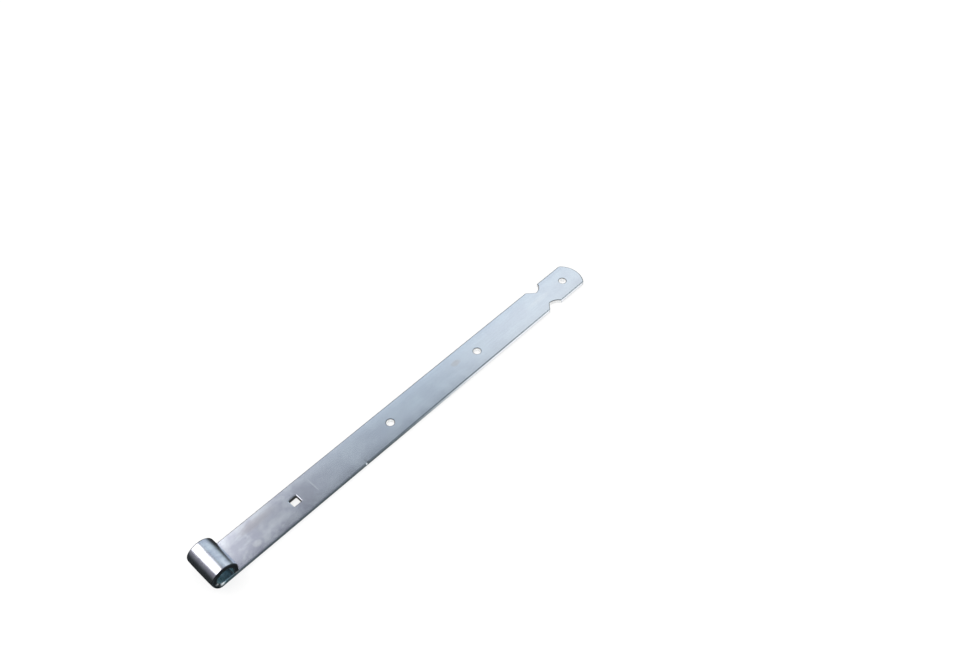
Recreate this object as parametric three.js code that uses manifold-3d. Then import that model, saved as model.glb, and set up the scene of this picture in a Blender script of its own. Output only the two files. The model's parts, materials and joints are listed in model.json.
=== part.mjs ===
// A gate hinge band: one length of flat steel bar, punched, notched near its tip and rolled at the
// other end into an open eye, which drops over a pintle on the post.
// Millimetres. +X runs along the band from the eye to the tip, +Y runs along the eye's axis, and +Z
// points out of the front face, the side that the eye is rolled up on. The origin is on the eye's
// axis, halfway across the band.

import * as THREE from 'three';
import { mergeVertices } from 'three/addons/utils/BufferGeometryUtils.js';
import Module from 'manifold-3d';

// The bar
const overallLength = 500;
const bandWidth = 35;
const bandThickness = 5;
const edgeRadius = 0.8; // the bar's four long corners are rolled round

// The eye
const pinDiameter = 16;
const pinPlay = 0.5; // how much wider the eye is than its pin
const curlAngle = THREE.MathUtils.degToRad(280); // the bar bends this far, then runs straight to its cut end
const curlGap = 0.3; // from the lower corner of the cut end down to the front face
const innerSwell = 0.8; // how far the squeezed inner skin of the bend spreads past each edge of the band
const swellRamp = THREE.MathUtils.degToRad(40); // a swell grows and fades over this much of the bend
const footSwell = 1.2; // the outer skin bulges where the bend takes off,
const footAngle = THREE.MathUtils.degToRad(45); // most of all this far round,
const outerSwell = 0.7; // and spreads again once the bend has passed this:
const outerRamp = [THREE.MathUtils.degToRad(80), THREE.MathUtils.degToRad(120)];
const runOut = 1.2; // the bend was rolled a little out of square, so its far half sits this far towards -Y
const runOutRamp = [THREE.MathUtils.degToRad(90), THREE.MathUtils.degToRad(165)];

// The tip
const tipRadius = 25;
const notchX = 423; // where the edge leaves the straight, on both sides of the band
const plusNotch = { depth: 8, biteRadius: 12 }; // a 45 degree shoulder this deep, met by a round bite
const minusNotch = { depth: 6.5, biteRadius: 14 }; // the one in the -Y edge is struck less deep

// The holes, all on the band's centre line, by their distance from the eye's axis
const squareHoleX = 88;
const squareHoleSide = 8.6; // takes the square neck of an 8 mm carriage bolt
const roundHoleXs = [205.5, 327.5, 464.5];
const roundHoleDiameter = 8;

// Fineness
const curlSteps = 28; // every 10 degrees, so that a corner falls on each of the eye's outermost points
const cornerSegments = 2;
const arcSegments = 12;
const holeSegments = 40;

// Worked out from the above
const boreRadius = (pinDiameter + pinPlay) / 2;
const eyeRadius = boreRadius + bandThickness;
const frontFaceZ = bandThickness - eyeRadius;
const tipX = overallLength - eyeRadius;
const halfWidth = bandWidth / 2;
const cutReach = halfWidth + 3; // the waste shapes run this far from the centre line
const cutHeight = 4 * eyeRadius; // and pass right through the band

const wasm = await Module();
wasm.setup();

function asSolid(geometry) {
  const bare = geometry.clone();
  bare.deleteAttribute('normal');
  bare.deleteAttribute('uv');
  const merged = mergeVertices(bare);
  const mesh = new wasm.Mesh({
    numProp: 3,
    vertProperties: new Float32Array(merged.attributes.position.array),
    triVerts: new Uint32Array(merged.index.array),
  });
  return new wasm.Manifold(mesh);
}

function asGeometry(solid) {
  const mesh = solid.getMesh();
  const geometry = new THREE.BufferGeometry();
  geometry.setAttribute('position', new THREE.BufferAttribute(mesh.vertProperties, 3));
  geometry.setIndex(new THREE.BufferAttribute(mesh.triVerts, 1));
  return geometry;
}

// The bar's section: x goes across the band, y goes from the back face at 0 to the front face.
function barSection() {
  const farX = halfWidth - edgeRadius;
  const lowY = edgeRadius;
  const highY = bandThickness - edgeRadius;
  const section = new THREE.Shape();
  section.absarc(farX, lowY, edgeRadius, -Math.PI / 2, 0, false);
  section.absarc(farX, highY, edgeRadius, 0, Math.PI / 2, false);
  section.absarc(-farX, highY, edgeRadius, Math.PI / 2, Math.PI, false);
  section.absarc(-farX, lowY, edgeRadius, Math.PI, Math.PI * 1.5, false);
  return section;
}

// A place along the bar at a given angle of the bend: the point on its back face, the way from there
// to its front face, how far each skin spreads past the band's edges, and how far the section is
// shifted along the eye. The bend starts under the eye's axis and rolls up past -X.
function bendStation(angle) {
  const inward = new THREE.Vector2(Math.sin(angle), Math.cos(angle));
  const point = inward.clone().multiplyScalar(-eyeRadius);
  const rampUp = THREE.MathUtils.smoothstep(angle, 0, swellRamp);
  const rampDown = THREE.MathUtils.smoothstep(curlAngle - angle, 0, swellRamp);
  const footUp = THREE.MathUtils.smoothstep(angle, 0, footAngle);
  const footDown = THREE.MathUtils.smoothstep(2 * footAngle - angle, 0, footAngle);
  const spreadAgain = THREE.MathUtils.smoothstep(angle, ...outerRamp);
  return {
    point,
    inward,
    outerSpread: footUp * footDown * footSwell + spreadAgain * rampDown * outerSwell,
    innerSpread: rampUp * rampDown * innerSwell,
    shift: -runOut * THREE.MathUtils.smoothstep(angle, ...runOutRamp),
  };
}

// Past the bend the bar runs straight, down to its cut end just above the front face.
function cutEndStation() {
  const last = bendStation(curlAngle);
  const along = new THREE.Vector2(-last.inward.y, last.inward.x);
  const drop = last.point.y - (frontFaceZ + curlGap);
  last.point.addScaledVector(along, drop / -along.y);
  return last;
}

function barStations() {
  const stations = [cutEndStation()];
  for (let step = curlSteps; step >= 0; step -= 1) {
    stations.push(bendStation((curlAngle * step) / curlSteps));
  }
  const tip = bendStation(0);
  tip.point.x = tipX;
  stations.push(tip);
  return stations;
}

// The section is swept through the stations: extruded one unit for each, then every vertex is
// moved to the station that its height in the extrusion counts.
function rolledBar() {
  const stations = barStations();
  const steps = stations.length - 1;
  const geometry = new THREE.ExtrudeGeometry(barSection(), {
    depth: steps,
    steps,
    bevelEnabled: false,
    curveSegments: cornerSegments,
  });
  const position = geometry.attributes.position;
  for (let i = 0; i < position.count; i += 1) {
    const across = position.getX(i);
    const height = position.getY(i);
    const { point, inward, outerSpread, innerSpread, shift } = stations[Math.round(position.getZ(i))];
    const spread = THREE.MathUtils.lerp(outerSpread, innerSpread, height / bandThickness);
    position.setXYZ(
      i,
      point.x + inward.x * height,
      across * (1 + spread / halfWidth) + shift,
      point.y + inward.y * height,
    );
  }
  return asSolid(geometry);
}

// A flat outline becomes a cutter that passes right through the band.
function cutter(outline) {
  const geometry = new THREE.ExtrudeGeometry(outline, {
    depth: cutHeight,
    bevelEnabled: false,
    curveSegments: arcSegments,
  });
  geometry.translate(0, 0, -cutHeight / 2);
  return geometry;
}

// The metal sheared off round the tip.
function tipWaste() {
  const halfAngle = Math.asin(cutReach / tipRadius);
  const outline = new THREE.Shape();
  outline.moveTo(tipX + cutReach, -cutReach);
  outline.lineTo(tipX + cutReach, cutReach);
  outline.absarc(tipX - tipRadius, 0, tipRadius, halfAngle, -halfAngle, true);
  return cutter(outline);
}

// The metal punched out of the +Y edge: a 45 degree shoulder on the eye side, a round bite on the
// tip side that starts level at the deepest point.
function notchWaste({ depth, biteRadius }) {
  const deepX = notchX + depth;
  const deepY = halfWidth - depth;
  const biteY = deepY + biteRadius;
  const outline = new THREE.Shape();
  outline.moveTo(deepX - (cutReach - deepY), cutReach);
  outline.lineTo(deepX, deepY);
  outline.absarc(deepX, biteY, biteRadius, -Math.PI / 2, Math.asin((cutReach - biteY) / biteRadius), false);
  return cutter(outline);
}

function squareHole() {
  const geometry = new THREE.BoxGeometry(squareHoleSide, squareHoleSide, cutHeight);
  return geometry.translate(squareHoleX, 0, 0);
}

function roundHole(x) {
  const radius = roundHoleDiameter / 2;
  const geometry = new THREE.CylinderGeometry(radius, radius, cutHeight, holeSegments);
  geometry.rotateX(Math.PI / 2);
  return geometry.translate(x, 0, 0);
}

function strap() {
  const cuts = [
    tipWaste(),
    notchWaste(plusNotch),
    notchWaste(minusNotch).rotateX(Math.PI),
    squareHole(),
    ...roundHoleXs.map(roundHole),
  ];
  let solid = rolledBar();
  for (const cut of cuts) {
    solid = solid.subtract(asSolid(cut));
  }
  return asGeometry(solid);
}

const zincPlatedSteel = new THREE.MeshStandardMaterial({
  name: 'zinc_plated_steel',
  color: new THREE.Color(0.62, 0.65, 0.71),
  roughness: 0.35,
  metalness: 1,
  flatShading: true,
});

const hingeBand = new THREE.Group();
const strapMesh = new THREE.Mesh(strap(), zincPlatedSteel);
strapMesh.name = 'strap';
hingeBand.add(strapMesh);

export default hingeBand;
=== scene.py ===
"""The looks of a zinc-plated gate hinge band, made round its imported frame.

The band is made as a smith's shop makes it. A flat bar with rolled edges is sheared and punched in
the flat, as a mesh called the blank, and then a geometry nodes tree rolls its plain end into the eye.
Metres, in the frame's own axes: +X along the band to its tip, +Y along the eye, +Z out of the front.
"""

import json
import math

import bpy
from mathutils import Matrix, Vector, noise
from mathutils.geometry import delaunay_2d_cdt


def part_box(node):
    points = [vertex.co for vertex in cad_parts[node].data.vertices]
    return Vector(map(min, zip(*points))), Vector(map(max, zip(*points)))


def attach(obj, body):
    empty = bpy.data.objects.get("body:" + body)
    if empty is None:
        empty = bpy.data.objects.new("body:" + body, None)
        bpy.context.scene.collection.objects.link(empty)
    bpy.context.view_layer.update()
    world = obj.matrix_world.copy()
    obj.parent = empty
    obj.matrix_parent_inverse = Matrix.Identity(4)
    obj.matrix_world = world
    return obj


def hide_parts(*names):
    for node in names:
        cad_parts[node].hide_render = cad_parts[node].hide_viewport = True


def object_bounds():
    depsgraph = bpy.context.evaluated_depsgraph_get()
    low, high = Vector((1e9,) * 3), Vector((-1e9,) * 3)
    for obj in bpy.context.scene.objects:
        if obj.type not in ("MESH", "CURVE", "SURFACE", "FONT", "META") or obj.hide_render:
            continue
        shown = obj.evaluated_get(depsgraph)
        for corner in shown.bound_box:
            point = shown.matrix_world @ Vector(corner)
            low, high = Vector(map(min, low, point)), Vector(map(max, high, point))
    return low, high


MM = 0.001

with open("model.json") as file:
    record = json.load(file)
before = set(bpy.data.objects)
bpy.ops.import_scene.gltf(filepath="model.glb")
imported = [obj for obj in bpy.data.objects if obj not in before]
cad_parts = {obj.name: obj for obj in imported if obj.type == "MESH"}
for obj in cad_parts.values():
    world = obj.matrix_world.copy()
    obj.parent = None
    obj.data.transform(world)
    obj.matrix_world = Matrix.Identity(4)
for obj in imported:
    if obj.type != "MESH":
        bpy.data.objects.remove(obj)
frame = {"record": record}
cad_low, cad_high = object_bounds()
strap_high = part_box("strap")[1]
mounts = {mount["name"]: Vector(mount["pos_m"]) for mount in frame["record"]["mounts"]}
openings = {gap["name"]: gap["box_m"] for gap in frame["record"]["physics"]["openings"]}

# The bar
HALF_WIDTH = 17.5 * MM
THICKNESS = mounts["carriage_bolt_seat"].z - mounts["back_face"].z
EDGE_ROUND = 0.8 * MM  # the bar's long corners, round from the rolling mill
CROWN = 0.28 * MM  # how much each face falls towards its edges,
CROWN_POWER = 4  # most of it close to them
WAVE = 0.03 * MM  # and how far it wanders from true along its length
WAVE_LENGTH = 45 * MM

# The eye
EYE_RADIUS = strap_high.z
BEND_ANGLE = math.radians(280)
NEUTRAL_RADIUS = EYE_RADIUS - THICKNESS / 2
BEND_LENGTH = BEND_ANGLE * NEUTRAL_RADIUS
CUT_END_GAP = 0.3 * MM  # from the cut end down to the front face
INNER_SWELL = 0.78 * MM  # the squeezed inner skin of the bend spreads past the band's edges
SWELL_RAMP = math.radians(40)  # and swells and settles over this much of the bend
FOOT_SWELL = 1.15 * MM  # the outer skin bulges where the bend takes off
FOOT_ANGLE = math.radians(45)
OUTER_SWELL = 0.68 * MM  # and spreads again further round
OUTER_RAMP = (math.radians(80), math.radians(120))
RUN_OUT = 1.2 * MM  # the bend was rolled a little out of square, towards -Y
RUN_OUT_RAMP = (math.radians(90), math.radians(165))

# The sheared and punched outlines
TIP_X = strap_high.x
TIP_RADIUS = 25 * MM
NOTCH_X = 423 * MM  # where both notches start
PLUS_NOTCH = (8 * MM, 12 * MM)  # the notch in the +Y edge: its depth, and the radius of its bite
MINUS_NOTCH = (6.5 * MM, 14 * MM)  # the one in the -Y edge is struck less deep
SQUARE_SIDE = 8.6 * MM
ROUND_RADIUS = 4 * MM
PUNCHED_ROUND = 0.55 * MM  # metal drawn in round the front of a punched cut
SQUARE_ROUND = 0.85 * MM  # more of it round the square hole
TIP_ROUND = 0.9 * MM  # and round the front of the tip, which has been dressed as well
BURR_ROUND = 0.12 * MM  # the crisp corner where a cut breaks out at the back
BREAKOUT = 0.12 * MM  # how far a cut leans from front to back
ROUND_FADE = 4 * MM  # a rolled corner sharpens over this length before it meets a cut

# How far back from a corner of an outline its softening starts
END_CUT = 1.4 * MM
TIP_CUT = 1.4 * MM
NOTCH_EDGE_CUT = 0.8 * MM
NOTCH_DEEP_CUT = 0.5 * MM
SQUARE_CUT = 0.7 * MM

# How light each cut wall is painted, 0 black, 1 white: the pale walls are a painted reflection of the
# floor
SHEARED_WALL_PAINTED_LIGHT = 0.85
PUNCHED_SHADE = 0.05
DRILLED_WALL_PAINTED_LIGHT = 0.95

# The band's long corners get no painted shade up to the first of these distances, full beyond the
# second
BRINK_SHADE_START_X = 60 * MM
BRINK_SHADE_FULL_X = 300 * MM

# The nick in the -Y edge
NICK_X = 160 * MM
NICK_REACH = 2 * MM
NICK_DEPTH = 0.5 * MM
NICK_SHARE = 0.06  # how much of the half width it reaches into

# Fineness of the mesh
GRID = 4 * MM  # between the rows on the faces, and twice what lies between the columns
GRID_ROWS = 3  # on each side of the centre line
FINE = 0.5 * MM  # between points round the tip, the bites and the nick
END_STEP = 2 * MM  # along the cut end
SQUARE_STEP = 0.8 * MM  # along the square hole's sides
ROUND_STEP = 0.4 * MM  # round each round hole
BEND_STEPS = 140  # round the eye
CORNER_STEPS = 5  # round each corner of the bar
SIDE_STEPS = 3  # down its side
SOFT_STEPS = 5  # round a softened corner of an outline
HOLD = 0.2 * MM  # a ring of flat metal round every corner keeps its shading crisp
CLEARANCE = 1.4 * MM  # the least room between the grid and a corner's foot
WELD = 1e-7  # points closer than this are one
LEAST_MITRE = 0.5  # the cosine at which a corner's mitre stops growing

# Where the painted shade on the corners lies, in those steps
BRINK_STEP = 1  # a front corner is painted dark from this step of it onwards,
BACK_BRINK_STEP = 2  # a back corner beyond this one
DARK_STEPS = 1.5  # and the painted shade at a cut wall's top fades out over this many steps down it


def smooth(t):
    """0 below 0, 1 above 1, and a smooth rise between them."""
    t = min(max(t, 0), 1)
    return t * t * (3 - 2 * t)


def mix(a, b, t):
    """The number that lies t of the way from a to b."""
    return a + (b - a) * t


# ---------------------------------------------------------------------------------------------
# The flat blank
# ---------------------------------------------------------------------------------------------


class Stretch:
    """One stretch of an outline: its length, a place for each distance along it, and how it was cut."""

    def __init__(self, length, place, step, sheared=True, cut_round=PUNCHED_ROUND):
        self.length = length
        self.place = place
        self.step = step
        self.sheared = sheared
        self.cut_round = cut_round

    def points(self, start_cut, end_cut):
        """Points along it, leaving out what the softened corners at its two ends take."""
        run = self.length - start_cut - end_cut
        count = max(1, round(run / self.step))
        return [self.place(start_cut + run * i / count) for i in range(count + 1)]


def line(start, end, step=GRID, sheared=True, cut_round=PUNCHED_ROUND):
    """A straight stretch."""
    start, end = Vector(start), Vector(end)
    length = (end - start).length
    return Stretch(length, lambda s: start.lerp(end, s / length), step, sheared, cut_round)


def arc(centre, radius, first, last, step, cut_round=PUNCHED_ROUND):
    """A stretch of a circle, from its first angle to its last."""
    length = abs(last - first) * radius

    def place(s):
        angle = first + (last - first) * s / length
        return Vector((centre[0] + radius * math.cos(angle), centre[1] + radius * math.sin(angle)))

    return Stretch(length, place, step, cut_round=cut_round)


class Rim:
    """A closed outline, metal on its left, ready to be given its rounded corners front and back."""

    def __init__(self, stretches, corner_cuts, shade, painted_shade_at):
        self.shade = shade
        self.painted_shade_at = painted_shade_at
        self.places, self.sheared, self.cut_round = [], [], []
        count = len(stretches)
        for i, stretch in enumerate(stretches):
            start_cut, end_cut = corner_cuts[i], corner_cuts[(i + 1) % count]
            run = stretch.points(start_cut, end_cut)
            following = stretches[(i + 1) % count]
            if end_cut:
                run += self.softened(run[-1], stretch.place(stretch.length), following.place(end_cut))
            else:
                run.pop()
            self.places += run
            self.sheared += [stretch.sheared] * len(run)
            self.cut_round += [stretch.cut_round] * len(run)
        self.measure()

    @staticmethod
    def softened(before, corner, after):
        """The points of a small curve round a corner, without its two ends."""
        curve = []
        for i in range(1, SOFT_STEPS):
            t = i / SOFT_STEPS
            curve.append(before.lerp(corner, t).lerp(corner.lerp(after, t), t))
        return curve

    def measure(self):
        """Finds the way into the metal at each point, and how round its corners are."""
        count = len(self.places)
        cut_places = [p for p, sheared in zip(self.places, self.sheared) if sheared]
        self.inward, self.front_round, self.back_round = [], [], []
        for i, place in enumerate(self.places):
            before = (place - self.places[i - 1]).normalized()
            after = (self.places[(i + 1) % count] - place).normalized()
            along = (before + after).normalized()
            self.inward.append(Vector((-along.y, along.x)) / max(along.dot(after), LEAST_MITRE))
            away = 0 if self.sheared[i] else min((place - cut).length for cut in cut_places)
            rolled = smooth(away / ROUND_FADE)
            self.front_round.append(mix(self.cut_round[i], EDGE_ROUND, rolled))
            self.back_round.append(mix(BURR_ROUND, EDGE_ROUND, rolled))

    def ring(self, inset_of, height_of):
        """The outline moved into the metal, and its height above the back face, point by point."""
        ring = []
        for i, place in enumerate(self.places):
            at = place + self.inward[i] * inset_of(i)
            ring.append(Vector((at.x, at.y, height_of(i))))
        return ring

    def rings(self):
        """Every ring from the front face, over the front corner, down the side and round the back."""
        front, back = self.front_round, self.back_round
        lean = [BREAKOUT * sheared for sheared in self.sheared]
        rings = [self.ring(lambda i: front[i] + HOLD, lambda i: THICKNESS)]
        for step in range(CORNER_STEPS + 1):
            turn = math.pi / 2 * step / CORNER_STEPS
            rings.append(self.ring(
                lambda i: front[i] * (1 - math.sin(turn)),
                lambda i: THICKNESS - front[i] * (1 - math.cos(turn)),
            ))
        for step in range(1, SIDE_STEPS + 1):
            t = step / (SIDE_STEPS + 1)
            rings.append(self.ring(
                lambda i: lean[i] * t,
                lambda i: mix(THICKNESS - front[i], back[i], t),
            ))
        for step in range(CORNER_STEPS, -1, -1):
            turn = math.pi / 2 * step / CORNER_STEPS
            rings.append(self.ring(
                lambda i: lean[i] + back[i] * (1 - math.sin(turn)),
                lambda i: back[i] * (1 - math.cos(turn)),
            ))
        rings.append(self.ring(lambda i: lean[i] + back[i] + HOLD, lambda i: 0))
        return rings


def cut_end_x():
    """Where the blank ends: the bend used up, then a straight leg down to the front face."""
    bend_end = -EYE_RADIUS * math.cos(BEND_ANGLE)
    front_face = THICKNESS - EYE_RADIUS
    leg = (bend_end - front_face - CUT_END_GAP) / -math.sin(BEND_ANGLE)
    return -(BEND_LENGTH + leg)


def notch(side, depth, bite_radius):
    """A notch's shoulder and bite in the order that the outline meets them, and where it ends."""
    start = (NOTCH_X, side * HALF_WIDTH)
    deep = Vector((NOTCH_X + depth, side * (HALF_WIDTH - depth)))
    centre = deep + Vector((0, side * bite_radius))
    last = math.asin((depth - bite_radius) / bite_radius)
    end_x = deep.x + bite_radius * math.cos(last)
    if side < 0:
        stretches = [line(start, deep, 2 * FINE), arc(centre, bite_radius, math.pi / 2, -last, FINE)]
    else:
        stretches = [arc(centre, bite_radius, last, -math.pi / 2, FINE), line(deep, start, 2 * FINE)]
    return stretches, end_x


def outer_rim():
    """The blank's outline, once round from the cut end's -Y corner."""
    start_x = cut_end_x()
    bend_step = BEND_LENGTH / BEND_STEPS
    bend_x = -BEND_LENGTH
    tip_angle = math.asin(HALF_WIDTH / TIP_RADIUS)
    corner_x = TIP_X - TIP_RADIUS * (1 - math.cos(tip_angle))
    plus_notch, plus_end = notch(1, *PLUS_NOTCH)
    minus_notch, minus_end = notch(-1, *MINUS_NOTCH)

    def long_edge(from_x, to_x, y, step=GRID / 2):
        return line((from_x, y), (to_x, y), step, sheared=False)

    near_nick = NICK_X - 2 * NICK_REACH
    past_nick = NICK_X + 2 * NICK_REACH
    stretches = [
        long_edge(start_x, bend_x, -HALF_WIDTH, bend_step),
        long_edge(bend_x, 0, -HALF_WIDTH, bend_step),
        long_edge(0, near_nick, -HALF_WIDTH),
        long_edge(near_nick, past_nick, -HALF_WIDTH, FINE),
        long_edge(past_nick, NOTCH_X, -HALF_WIDTH),
        *minus_notch,
        long_edge(minus_end, corner_x, -HALF_WIDTH),
        arc((TIP_X - TIP_RADIUS, 0), TIP_RADIUS, -tip_angle, tip_angle, FINE, TIP_ROUND),
        long_edge(corner_x, plus_end, HALF_WIDTH),
        *plus_notch,
        long_edge(NOTCH_X, 0, HALF_WIDTH),
        long_edge(0, bend_x, HALF_WIDTH, bend_step),
        long_edge(bend_x, start_x, HALF_WIDTH, bend_step),
        line((start_x, HALF_WIDTH), (start_x, -HALF_WIDTH), END_STEP),
    ]
    notch_cuts = [NOTCH_EDGE_CUT, NOTCH_DEEP_CUT, NOTCH_EDGE_CUT]
    cuts = [END_CUT, 0, 0, 0, 0, *notch_cuts, TIP_CUT, TIP_CUT, *notch_cuts, 0, 0, END_CUT]
    return Rim(stretches, cuts, SHEARED_WALL_PAINTED_LIGHT, lambda x: smooth((x - BRINK_SHADE_START_X) / (BRINK_SHADE_FULL_X - BRINK_SHADE_START_X)))


def opening_x(name):
    """The middle of one of the record's openings, along the band."""
    low, high = openings[name]
    return (low[0] + high[0]) / 2


def square_rim(x):
    reach = SQUARE_SIDE / 2
    corners = [(x - reach, -reach), (x - reach, reach), (x + reach, reach), (x + reach, -reach)]
    pairs = zip(corners, corners[1:] + corners[:1])
    sides = [line(a, b, SQUARE_STEP, cut_round=SQUARE_ROUND) for a, b in pairs]
    return Rim(sides, [SQUARE_CUT] * 4, PUNCHED_SHADE, lambda x: 0.0)


def round_rim(x):
    circle = arc((x, 0), ROUND_RADIUS, 2 * math.pi, 0, ROUND_STEP)
    return Rim([circle], [0], DRILLED_WALL_PAINTED_LIGHT, lambda x: 1.0)


class Blank:
    """The punched and sheared bar in the flat: x along it, y across it, z up from its back face.

    Its layers say where the finish and the painted light change. Edge is 1 off the two faces. Brink is
    how dark a corner is painted, as painted shade. Sheared is 1 in a cut wall, and the last layer is
    how
    light that wall is painted: a painted reflection of the floor, darker at its top as painted shade.
    """

    def __init__(self):
        holes = [square_rim(opening_x("square_hole"))]
        holes += [round_rim(opening_x("round_hole_" + where)) for where in ("inner", "outer", "tip")]
        self.rims = [outer_rim()] + holes
        self.points, self.faces = [], []
        self.layers = {"edge": [], "brink": [], "sheared": [], "shade": []}
        front_loops, back_loops = [], []
        for rim in self.rims:
            first, last = self.add_side(rim)
            front_loops.append(first)
            back_loops.append(last)
        grid = self.grid_places()
        self.add_face(front_loops, grid, THICKNESS, flip=False)
        self.add_face(back_loops, grid, 0, flip=True)

    def add_point(self, point, edge=0, brink=0, sheared=0, shade=0):
        self.points.append(point)
        values = {"edge": edge, "brink": brink, "sheared": sheared, "shade": shade}
        for name, value in values.items():
            self.layers[name].append(float(value))

    def add_side(self, rim):
        """Joins a rim's rings into its corners and side, and returns its first and last ring."""
        rings = rim.rings()
        count = len(rim.places)
        first = len(self.points)
        for number, ring in enumerate(rings):
            off_faces = 0 < number < len(rings) - 1
            on_back_brink = off_faces and number > CORNER_STEPS + SIDE_STEPS + BACK_BRINK_STEP
            in_wall = off_faces and number > CORNER_STEPS
            # Painted shade and reflection: a cut wall is painted dark at its top and light below
            ring_wall_tone_and_painted_light = rim.shade * smooth((number - CORNER_STEPS) / DARK_STEPS)
            for i, point in enumerate(ring):
                # Painted shade: dark lines along the front and back corners, as strong as the rim gives
                # at this place
                on_front_brink = BRINK_STEP <= number < CORNER_STEPS + rim.sheared[i]
                brink = (on_front_brink or on_back_brink) * rim.painted_shade_at(point.x)
                self.add_point(point, off_faces, brink, in_wall and rim.sheared[i], ring_wall_tone_and_painted_light)
        for number in range(len(rings) - 1):
            here = first + number * count
            for i in range(count):
                j = (i + 1) % count
                self.faces.append((here + i, here + j, here + count + j, here + count + i)[::-1])
        indices = range(first, first + count)
        offset = (len(rings) - 1) * count
        return list(indices), [i + offset for i in indices]

    def grid_places(self):
        """Places inside the outline, in straight rows, clear of every rim."""
        bend_step = BEND_LENGTH / BEND_STEPS
        columns = [-bend_step * i for i in range(1, BEND_STEPS + 1)]
        columns += [GRID / 2 * i for i in range(int(TIP_X / GRID * 2) + 1)]
        rows = [GRID * i for i in range(-GRID_ROWS, GRID_ROWS + 1)]
        rim_places = [place for rim in self.rims for place in rim.places]
        reach = CLEARANCE + EDGE_ROUND
        near = {}
        for place in rim_places:
            near.setdefault(int(place.x // (2 * reach)), []).append(place)
        outline = self.rims[0].places
        kept = []
        for x in columns:
            cell = int(x // (2 * reach))
            around = [place for key in (cell - 1, cell, cell + 1) for place in near.get(key, [])]
            for y in rows:
                place = Vector((x, y))
                if any((place - other).length < reach for other in around):
                    continue
                in_hole = any(inside(place, rim.places) for rim in self.rims[1:])
                if inside(place, outline) and not in_hole:
                    kept.append(place)
        return kept

    def add_face(self, loops, grid, height, flip):
        """Fills the front or the back face between its loops with triangles."""
        rim_indices = [i for loop in loops for i in loop]
        first = len(self.points)
        for place in grid:
            self.add_point(Vector((place.x, place.y, height)))
        indices = rim_indices + list(range(first, first + len(grid)))
        order = {index: i for i, index in enumerate(indices)}
        edges = [(order[a], order[b]) for loop in loops for a, b in zip(loop, loop[1:] + loop[:1])]
        flat = [self.points[i].to_2d() for i in indices]
        inside_only = 1
        _, _, triangles, given, _, _ = delaunay_2d_cdt(flat, edges, [], inside_only, WELD)
        origins = [indices[found[0]] for found in given]
        holes = [[self.points[i].to_2d() for i in loop] for loop in loops[1:]]
        for triangle in triangles:
            corners = tuple(origins[i] for i in triangle)
            middle = sum((self.points[i] for i in corners), Vector()) / 3
            if not any(inside(middle, hole) for hole in holes):
                self.faces.append(corners[::-1] if flip else corners)

    def settled(self, point):
        """A point of the true blank moved to where the mill and the years have left it."""
        across = (point.y / HALF_WIDTH) ** CROWN_POWER
        wander = 0.5 + 0.5 * noise.noise(Vector((point.x, point.y, 0)) / WAVE_LENGTH)
        squeeze = 1 - 2 * (CROWN * across + WAVE * wander) / THICKNESS
        height = THICKNESS / 2 + (point.z - THICKNESS / 2) * squeeze
        dent = NICK_DEPTH * smooth(1 - abs(point.x - NICK_X) / NICK_REACH)
        dent *= smooth(1 - (1 + point.y / HALF_WIDTH) / NICK_SHARE) * smooth(point.z / THICKNESS)
        return Vector((point.x, point.y + dent, height - dent / 2))

    def mesh(self):
        """The settled blank as a mesh, with its layers as attributes."""
        mesh = bpy.data.meshes.new("blank")
        mesh.from_pydata([self.settled(point) for point in self.points], [], self.faces)
        for name, values in self.layers.items():
            attribute = mesh.attributes.new(name, "FLOAT", "POINT")
            attribute.data.foreach_set("value", values)
        mesh.validate()
        mesh.update()
        return mesh


def inside(place, outline):
    """True if a line from the place to one side crosses the outline an odd number of times."""
    odd = False
    for i, b in enumerate(outline):
        a = outline[i - 1]
        if (a.y > place.y) != (b.y > place.y):
            if place.x < a.x + (place.y - a.y) / (b.y - a.y) * (b.x - a.x):
                odd = not odd
    return odd


# ---------------------------------------------------------------------------------------------
# Node trees
# ---------------------------------------------------------------------------------------------


class Wire:
    """The output of a node. Python's operators on wires add Math nodes to their tree."""

    def __init__(self, graph, socket):
        self.graph = graph
        self.socket = socket

    def maths(self, operation, *values):
        inputs = dict(enumerate(values))
        return self.graph.node("ShaderNodeMath", {"operation": operation}, inputs)

    def __add__(self, other):
        return self.maths("ADD", self, other)

    def __radd__(self, other):
        return self.maths("ADD", other, self)

    def __sub__(self, other):
        return self.maths("SUBTRACT", self, other)

    def __rsub__(self, other):
        return self.maths("SUBTRACT", other, self)

    def __mul__(self, other):
        return self.maths("MULTIPLY", self, other)

    def __rmul__(self, other):
        return self.maths("MULTIPLY", other, self)

    def __truediv__(self, other):
        return self.maths("DIVIDE", self, other)

    def __neg__(self):
        return self.maths("MULTIPLY", self, -1)

    def sin(self):
        return self.maths("SINE", self)

    def cos(self):
        return self.maths("COSINE", self)

    def at_least(self, other):
        return self.maths("MAXIMUM", self, other)

    def at_most(self, other):
        return self.maths("MINIMUM", self, other)

    def ramp(self, low, high):
        """0 below low, 1 above high, and a smooth rise between them."""
        values = {"Value": self, "From Min": low, "From Max": high}
        return self.graph.node("ShaderNodeMapRange", {"interpolation_type": "SMOOTHSTEP"}, values)

    def output(self, name):
        """Another output of the same node."""
        return Wire(self.graph, self.socket.node.outputs[name])

    def xyz(self):
        parts = self.graph.node("ShaderNodeSeparateXYZ", {}, {0: self})
        return parts.output("X"), parts.output("Y"), parts.output("Z")


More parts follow.
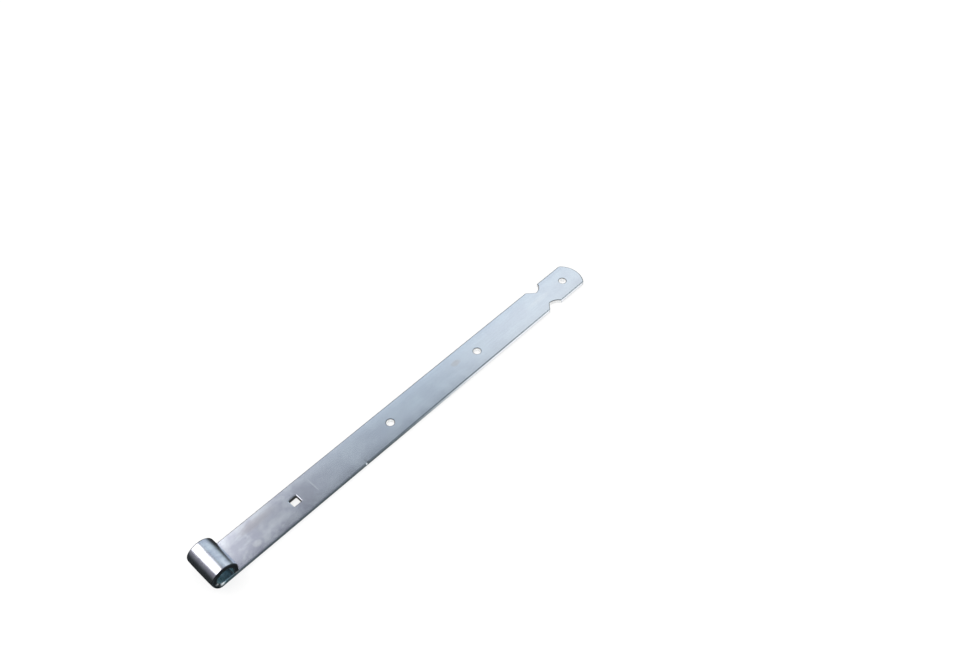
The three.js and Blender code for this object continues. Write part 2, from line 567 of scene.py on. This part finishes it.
class Graph:
    """A node tree that is being written."""

    def __init__(self, tree):
        self.tree = tree
        tree.nodes.clear()

    def node(self, kind, settings=None, inputs=None, output=0):
        """Adds a node, sets it up, sets or links its sockets, and returns one of its outputs."""
        node = self.tree.nodes.new(kind)
        for name, value in (settings or {}).items():
            setattr(node, name, value)
        for name, value in (inputs or {}).items():
            if isinstance(value, Wire):
                self.tree.links.new(value.socket, node.inputs[name])
            else:
                node.inputs[name].default_value = value
        return Wire(self, node.outputs[output]) if node.outputs else node

    def blend(self, factor, first, second):
        """One colour changing to another."""
        settings = {"data_type": "RGBA"}
        inputs = {"Factor": factor, 6: colour(first), 7: colour(second)}
        return self.node("ShaderNodeMix", settings, inputs, output=2)


def colour(value):
    return value if isinstance(value, Wire) else (*value, 1)


# ---------------------------------------------------------------------------------------------
# The rolled eye
# ---------------------------------------------------------------------------------------------


def eye_sizes():
    """The inputs of the rolling tree."""
    return {
        "Eye Radius": EYE_RADIUS,
        "Neutral Radius": NEUTRAL_RADIUS,
        "Bend Angle": BEND_ANGLE,
        "Half Width": HALF_WIDTH,
        "Thickness": THICKNESS,
        "Inner Swell": INNER_SWELL,
        "Foot Swell": FOOT_SWELL,
        "Foot Angle": FOOT_ANGLE,
        "Outer Swell": OUTER_SWELL,
        "Outer Ramp Start": OUTER_RAMP[0],
        "Outer Ramp End": OUTER_RAMP[1],
        "Swell Ramp": SWELL_RAMP,
        "Run Out": RUN_OUT,
        "Run Out Start": RUN_OUT_RAMP[0],
        "Run Out End": RUN_OUT_RAMP[1],
    }


def rolling_tree():
    """Rolls everything at x below 0 round the pin, and gives the band its finish."""
    tree = bpy.data.node_groups.new("roll_the_eye", "GeometryNodeTree")
    graph = Graph(tree)
    sizes = list(eye_sizes())
    tree.interface.new_socket("Geometry", in_out="INPUT", socket_type="NodeSocketGeometry")
    for name in sizes:
        tree.interface.new_socket(name, in_out="INPUT", socket_type="NodeSocketFloat")
    tree.interface.new_socket("Finish", in_out="INPUT", socket_type="NodeSocketMaterial")
    tree.interface.new_socket("Geometry", in_out="OUTPUT", socket_type="NodeSocketGeometry")
    blank = graph.node("NodeGroupInput")
    size = {name: blank.output(name) for name in sizes}

    place = graph.node("GeometryNodeInputPosition")
    x, across, height = place.xyz()
    rolled = (-x).at_least(0)
    angle = (rolled / size["Neutral Radius"]).at_most(size["Bend Angle"])
    leg = (rolled - size["Bend Angle"] * size["Neutral Radius"]).at_least(0)
    reach = height - size["Eye Radius"]
    new_x = x.at_least(0) + reach * angle.sin() - leg * angle.cos()
    new_z = reach * angle.cos() + leg * angle.sin()
    fade = (size["Bend Angle"] - angle).ramp(0, size["Swell Ramp"])
    foot_angle = size["Foot Angle"]
    foot = angle.ramp(0, foot_angle) * (2 * foot_angle - angle).ramp(0, foot_angle)
    again = angle.ramp(size["Outer Ramp Start"], size["Outer Ramp End"]) * fade
    outer = size["Foot Swell"] * foot + size["Outer Swell"] * again
    inner = size["Inner Swell"] * angle.ramp(0, size["Swell Ramp"]) * fade
    spread = outer + (inner - outer) * height / size["Thickness"]
    run_out = size["Run Out"] * angle.ramp(size["Run Out Start"], size["Run Out End"])
    new_y = across * (1 + spread / size["Half Width"]) - run_out
    rolled_place = graph.node("ShaderNodeCombineXYZ", {}, {"X": new_x, "Y": new_y, "Z": new_z})

    per_point = {"data_type": "FLOAT_VECTOR", "domain": "POINT"}
    place_layer = {"Geometry": blank, "Name": "blank_place", "Value": place}
    kept = graph.node("GeometryNodeStoreNamedAttribute", per_point, place_layer)
    bent = graph.node("GeometryNodeSetPosition", {}, {"Geometry": kept, "Position": rolled_place})
    shaded = graph.node("GeometryNodeSetShadeSmooth", {}, {0: bent})
    whole = graph.node("GeometryNodeRealizeInstances", {}, {0: shaded})
    plated = {"Geometry": whole, "Material": blank.output("Finish")}
    done = graph.node("GeometryNodeSetMaterial", {}, plated)
    graph.node("NodeGroupOutput", {}, {0: done})
    return tree


def set_input(modifier, name, value):
    """Sets a modifier's input, which goes by its socket's identifier."""
    for item in modifier.node_group.interface.items_tree:
        if item.name == name and item.in_out == "INPUT":
            modifier[item.identifier] = value


def band(finish):
    """Rolls the blank and returns the band as a plain mesh object."""
    scene = bpy.context.scene
    blank = bpy.data.objects.new("blank", Blank().mesh())
    scene.collection.objects.link(blank)
    roll = blank.modifiers.new("roll_the_eye", "NODES")
    roll.node_group = rolling_tree()
    set_input(roll, "Finish", finish)
    for name, value in eye_sizes().items():
        set_input(roll, name, value)
    depsgraph = bpy.context.evaluated_depsgraph_get()
    rolled = blank.evaluated_get(depsgraph)
    mesh = bpy.data.meshes.new_from_object(rolled, preserve_all_data_layers=True, depsgraph=depsgraph)
    mesh.name = "hinge_band"
    bpy.data.objects.remove(blank)
    whole = bpy.data.objects.new("hinge_band", mesh)
    scene.collection.objects.link(whole)
    return whole


# ---------------------------------------------------------------------------------------------
# Finishes
# ---------------------------------------------------------------------------------------------


ZINC_DEEP = (0.77, 0.79, 0.84)
ZINC_PALE = (0.84, 0.87, 0.91)
HANDLED_ZINC = (0.62, 0.63, 0.72)
MILL_LINES = (0.62, 0.64, 0.70)
# The next colour is painted shade, for the dark lines along the corners
BRINK_PAINTED_SHADE = (0.14, 0.16, 0.17)
BORE_TEAL = (0.62, 0.86, 0.88)
SHADED_TEAL = (0.32, 0.48, 0.52)
# The next colour is a painted dark reflection, for the eye's edges
EYE_EDGE_PAINTED_BLACK = (0.02, 0.025, 0.03)
# The next colour is a painted highlight, for glints on the eye's edges
GLINT_WHITE = (0.93, 0.97, 1.0)
BRIGHT_ZINC = (0.93, 0.95, 0.97)

# Soft marks on the front face: where in mm, how far along and across in mm, how strong, what colour
MARKS = [
    ((62, 5), (26, 12), 0.5, (0.58, 0.59, 0.66)),  # a dull cloud before the square hole
    ((52, 9), (24, 6), 0.6, (0.60, 0.58, 0.60)),  # and its browner side
    ((99, 0), (14, 20), 0.75, (0.58, 0.59, 0.65)),  # dull again past the square hole
    ((301, 5), (7, 4), 0.5, (0.74, 0.66, 0.62)),  # a rusty smudge
    ((39, -9), (5, 4), 0.7, BRIGHT_ZINC),  # a bright spot by the -Y edge
    ((110, 1), (1, 11), 0.6, BRIGHT_ZINC),  # a bright scratch across the band
    ((425, 0), (22, 4), 0.35, (0.95, 0.95, 0.95)),  # a pale streak between the notches
]
MARK_RAGGED = 1.2  # how much the patches in the plating break up a mark's edge


def new_material(name):
    material = bpy.data.materials.new(name)
    material.use_nodes = True
    return material, Graph(material.node_tree)


def zinc_plate():
    """Bright zinc on mill-finished steel: bluish, softly clouded, with fine lines along the bar."""
    material, graph = new_material("zinc_plate")

    def layer(name, kind="Fac"):
        return graph.node("ShaderNodeAttribute", {"attribute_name": name}).output(kind)

    place = layer("blank_place", "Vector")
    sheared = layer("sheared")
    shade = layer("shade")
    edge = layer("edge")
    brink = layer("brink")
    along, across, height = place.xyz()

    def noise_at(stretch, scale, detail=3.0, roughness=0.55):
        moved = graph.node("ShaderNodeMapping", {}, {"Vector": place, "Scale": stretch})
        inputs = {"Vector": moved, "Scale": scale, "Detail": detail, "Roughness": roughness}
        return graph.node("ShaderNodeTexNoise", {}, inputs)

    clouds = noise_at((1, 1, 1), 55)
    patches = noise_at((0.8, 1, 1), 95, 4.0, 0.65)
    mill = noise_at((0.12, 2.2, 2.2), 260)
    grain = noise_at((1, 1, 1), 900, 4.0, 0.6)

    def mark(x, y, reach_x, reach_y):
        """A soft oval on the front face, ragged like the patches."""
        dx = (along - x * MM) / (reach_x * MM)
        dy = (across - y * MM) / (reach_y * MM)
        distance = dx * dx + dy * dy
        spread = (1 - distance + (patches - 0.5) * MARK_RAGGED).ramp(0, 1)
        return spread * height.ramp(0.8 * THICKNESS, THICKNESS)

    # Masks, placed by their distance along the blank, which is below 0 in the bend
    handled = 1 - along.ramp(60 * MM, 150 * MM)
    curled = (-along).ramp(2 * MM, 9 * MM)
    inner_skin = curled * height.ramp(0.7 * THICKNESS, 0.95 * THICKNESS)
    under_eye = edge * (1 - along.ramp(6 * MM, 14 * MM)) * (1 - (-along).ramp(6 * MM, 12 * MM))
    # Painted dark reflection: the eye's edges past its foot are painted near black
    painted_dark_eye_edge = edge * (-along).ramp(3 * MM, 8 * MM)
    # Painted highlight: white glints on the eye's edges near its foot and further round
    foot_glint = (-along).ramp(0.5 * MM, 5.5 * MM) * (1 - (-along).ramp(5.5 * MM, 10.5 * MM))
    side_glint = (-along).ramp(10.5 * MM, 13.5 * MM) * (1 - (-along).ramp(13.5 * MM, 16.5 * MM))
    ragged = (height / THICKNESS + (grain - 0.5)).ramp(0.35, 0.85)
    painted_glint = edge * ragged * (foot_glint + 0.5 * side_glint)

    tone = graph.blend(clouds.ramp(0.3, 0.7), ZINC_DEEP, ZINC_PALE)
    tone = graph.blend(patches.ramp(0.40, 0.62) * handled * 0.85, tone, HANDLED_ZINC)
    tone = graph.blend(mill.ramp(0.3, 0.8) * 0.12, tone, MILL_LINES)
    for centre, reach, strength, tint in MARKS:
        tone = graph.blend(mark(*centre, *reach) * strength, tone, tint)
    # Painted shade: the dark lines along the corners
    tone = graph.blend(brink * 0.95, tone, BRINK_PAINTED_SHADE)
    tone = graph.blend(inner_skin * 0.8, tone, BORE_TEAL)
    tone = graph.blend(under_eye * 0.8, tone, SHADED_TEAL)
    # Painted dark reflection on the eye's edges
    tone = graph.blend(painted_dark_eye_edge * 0.95, tone, EYE_EDGE_PAINTED_BLACK)
    # Painted highlight: the glints on the eye's edges
    tone = graph.blend(painted_glint, tone, GLINT_WHITE)
    # Painted light: a cut wall takes its painted lightness, dark at its top as painted shade
    cut = graph.node("ShaderNodeCombineColor", {}, {0: shade, 1: shade, 2: shade})
    tone = graph.blend(sheared, tone, cut)
    metallic = 1 - 0.9 * sheared - 0.7 * painted_glint
    roughness = 0.18 + 0.08 * clouds + 0.04 * mill + 0.30 * sheared - 0.08 * edge + 0.25 * painted_dark_eye_edge
    roughness = roughness + 0.15 * inner_skin
    bumps = mill * 0.6 + grain * 0.4
    bump_inputs = {"Strength": 0.25, "Distance": 0.03 * MM, "Height": bumps}
    normal = graph.node("ShaderNodeBump", {}, bump_inputs)
    shader = graph.node("ShaderNodeBsdfPrincipled", {}, {
        "Base Color": tone, "Metallic": metallic, "Roughness": roughness, "Normal": normal,
    })
    graph.node("ShaderNodeOutputMaterial", {}, {"Surface": shader})
    return material


FLOOR_GLOW = 1.02
GLOW_SHARE = 0.75  # how much of the floor's light is its own


def pale_floor():
    """A white light table: it glows a little, so that shadows on it stay faint."""
    material, graph = new_material("pale_floor")
    matt = graph.node("ShaderNodeBsdfDiffuse", {}, {"Color": (0.9, 0.9, 0.9, 1)})
    glow = graph.node("ShaderNodeEmission", {}, {"Color": (1, 1, 1, 1), "Strength": FLOOR_GLOW})
    shader = graph.node("ShaderNodeMixShader", {}, {0: GLOW_SHARE, 1: matt, 2: glow})
    graph.node("ShaderNodeOutputMaterial", {}, {"Surface": shader})
    return material


# ---------------------------------------------------------------------------------------------
# The studio
# ---------------------------------------------------------------------------------------------


def heading(azimuth, elevation):
    """A direction, in degrees: round from +X towards +Y, then up from level."""
    a, e = math.radians(azimuth), math.radians(elevation)
    return Vector((math.cos(a) * math.cos(e), math.sin(a) * math.cos(e), math.sin(e)))


def softbox(name, centre, aim, across, size, radiance, tint):
    """A rectangular light that faces a point. Across is the way its width runs."""
    data = bpy.data.lights.new(name, "AREA")
    data.shape = "RECTANGLE"
    data.size, data.size_y = size
    data.energy = radiance * math.pi * size[0] * size[1]
    data.color = tint
    back = (centre - aim).normalized()
    side = (across - back * across.dot(back)).normalized()
    up = back.cross(side)
    lamp = bpy.data.objects.new(name, data)
    lamp.matrix_world = Matrix.Translation(centre) @ Matrix((side, up, back)).transposed().to_4x4()
    lamp.visible_camera = False
    bpy.context.scene.collection.objects.link(lamp)
    return lamp


KEY_ENDS = (heading(142, 33), heading(86, 59))  # the ways to the two ends of the long key softbox
KEY_DISTANCE = 1.2
KEY_DEPTH = 0.9
KICKER_AT = heading(-23, 27)
FILL_AT = Vector((1.4, 0.25, 1.0))
WHITE = (1, 1, 1)
WARM_WHITE = (1, 0.98, 0.93)


def key_softbox():
    """The long light beyond the band, on its +Y side, which the eye and the rolled corners mirror."""
    left, right = KEY_ENDS
    way = (left + right).normalized()
    size = (2 * KEY_DISTANCE * math.tan(left.angle(right) / 2), KEY_DEPTH)
    centre = way * KEY_DISTANCE
    softbox("key_softbox", centre, Vector(), across=right - left, size=size, radiance=2.2, tint=WHITE)


def kicker_softbox():
    """A small light low past the tip, on the -Y side."""
    across = Vector((0, 1, 0))
    softbox("kicker_softbox", KICKER_AT, Vector(), across, size=(0.2, 0.2), radiance=6, tint=WHITE)


def fill_softbox():
    """A wide soft light that faces straight down beyond the tip."""
    below, across = FILL_AT - Vector((0, 0, 1)), Vector((1, 0, 0))
    softbox("fill_softbox", FILL_AT, below, across, size=(1.0, 1.0), radiance=0.4, tint=WARM_WHITE)


CARD_SLOPE = 0.585  # the lower edge of the white card that hangs beyond the band: y over z
ROOM_DARK = 0.02  # the least light that comes from anywhere
ROOM_LIGHT = 1.05  # the even light that everything but the metal's mirroring gets


def studio_room():
    """What the metal mirrors away from the softboxes, and the even light that falls on the floor.

    Its parts start and end at directions: x towards the tip, y beyond the +Y edge, z up.
    """
    world = bpy.data.worlds.new("studio_room")
    world.use_nodes = True
    bpy.context.scene.world = world
    graph = Graph(world.node_tree)
    x, y, z = graph.node("ShaderNodeTexCoord").output("Generated").xyz()

    # How bright each part of the room is
    above = z.ramp(-0.22, 0.36)
    beyond = (y - CARD_SLOPE * z).ramp(-0.12, 0.12)
    card = 1 + 1.2 * (beyond - 0.5) * (1 - 0.6 * x.ramp(0.25, 0.5))
    flag = 1 - 0.85 * y.ramp(0.62, 0.76)
    haze = (0.58 + 0.45 * beyond) * x.ramp(-0.1, 0.1) * (1 - x.ramp(0.13, 0.22))
    wall = above * flag * (0.13 + 0.42 * x.ramp(0.12, 0.43) + haze) * card
    near_side = (-y).ramp(0.0, 0.35) * z.ramp(-0.3, 0.0) * (0.14 + 0.35 * x.ramp(0.3, 0.5))
    near_table = 0.12 + 1.0 * x.ramp(0.36, 0.47) + 1.2 * (-x).ramp(0.1, 0.35)
    table = (-y).ramp(0.1, 0.4) * (-z).ramp(0.3, 0.6) * near_table
    level = ROOM_DARK + wall + near_side + table

    # What colour it is
    tone = graph.blend(x.ramp(0.15, 0.4), (0.93, 0.98, 1.13), (0.84, 1.00, 1.16))
    tone = graph.blend(x.ramp(0.5, 0.6), tone, (0.86, 1.00, 1.13))
    tone = graph.blend(beyond * (1 - x.ramp(0.15, 0.3)), tone, (1.0, 1.0, 1.02))
    tone = graph.blend((-x).ramp(0.0, 0.3), tone, (0.97, 0.93, 1.10))
    tone = graph.blend(above, (0.78, 0.97, 1.02), tone)
    tone = graph.blend((-z).ramp(0.3, 0.6) * x.ramp(0.36, 0.47), tone, (1.0, 1.0, 1.0))

    mirrored = graph.node("ShaderNodeBackground", {}, {"Color": tone, "Strength": level})
    plain = graph.node("ShaderNodeBackground", {}, {"Color": (1, 1, 1, 1), "Strength": ROOM_LIGHT})
    is_glossy = graph.node("ShaderNodeLightPath").output("Is Glossy Ray")
    shader = graph.node("ShaderNodeMixShader", {}, {0: is_glossy, 1: plain, 2: mirrored})
    graph.node("ShaderNodeOutputWorld", {}, {"Surface": shader})


FLOOR_REACH = 30.0


def floor():
    """The table that the band lies on, which the metal doesn't mirror."""
    signs = [(-1, -1), (1, -1), (1, 1), (-1, 1)]
    corners = [(a * FLOOR_REACH, b * FLOOR_REACH, cad_low.z) for a, b in signs]
    mesh = bpy.data.meshes.new("floor")
    mesh.from_pydata(corners, [], [(0, 1, 2, 3)])
    mesh.materials.append(pale_floor())
    ground = bpy.data.objects.new("floor", mesh)
    ground.visible_glossy = False
    bpy.context.scene.collection.objects.link(ground)


SENSOR_WIDTH = 36  # mm, as is the lens
FOCAL_LENGTH = 34.58
CAMERA_AIM = Vector((364.3 * MM, 21.4 * MM, cad_low.z))
CAMERA_DISTANCE = 986.6 * MM
CAMERA_AZIMUTH = 222.62
CAMERA_ELEVATION = 48.02


def camera():
    """Looks down at the band from the eye's -Y side, so that its tip is the far end."""
    lens = bpy.data.cameras.new("camera")
    lens.sensor_width = SENSOR_WIDTH
    lens.lens = FOCAL_LENGTH
    lens.clip_start, lens.clip_end = 0.05, 100
    back = heading(CAMERA_AZIMUTH, CAMERA_ELEVATION)
    viewer = bpy.data.objects.new("camera", lens)
    viewer.location = CAMERA_AIM + back * CAMERA_DISTANCE
    viewer.rotation_euler = (-back).to_track_quat("-Z", "Y").to_euler()
    bpy.context.scene.collection.objects.link(viewer)
    bpy.context.scene.camera = viewer


def main():
    bpy.context.scene.view_settings.view_transform = "Standard"
    camera()
    floor()
    key_softbox()
    kicker_softbox()
    fill_softbox()
    studio_room()
    hinge_band = band(zinc_plate())
    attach(hinge_band, "root")
    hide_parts("strap")


main()
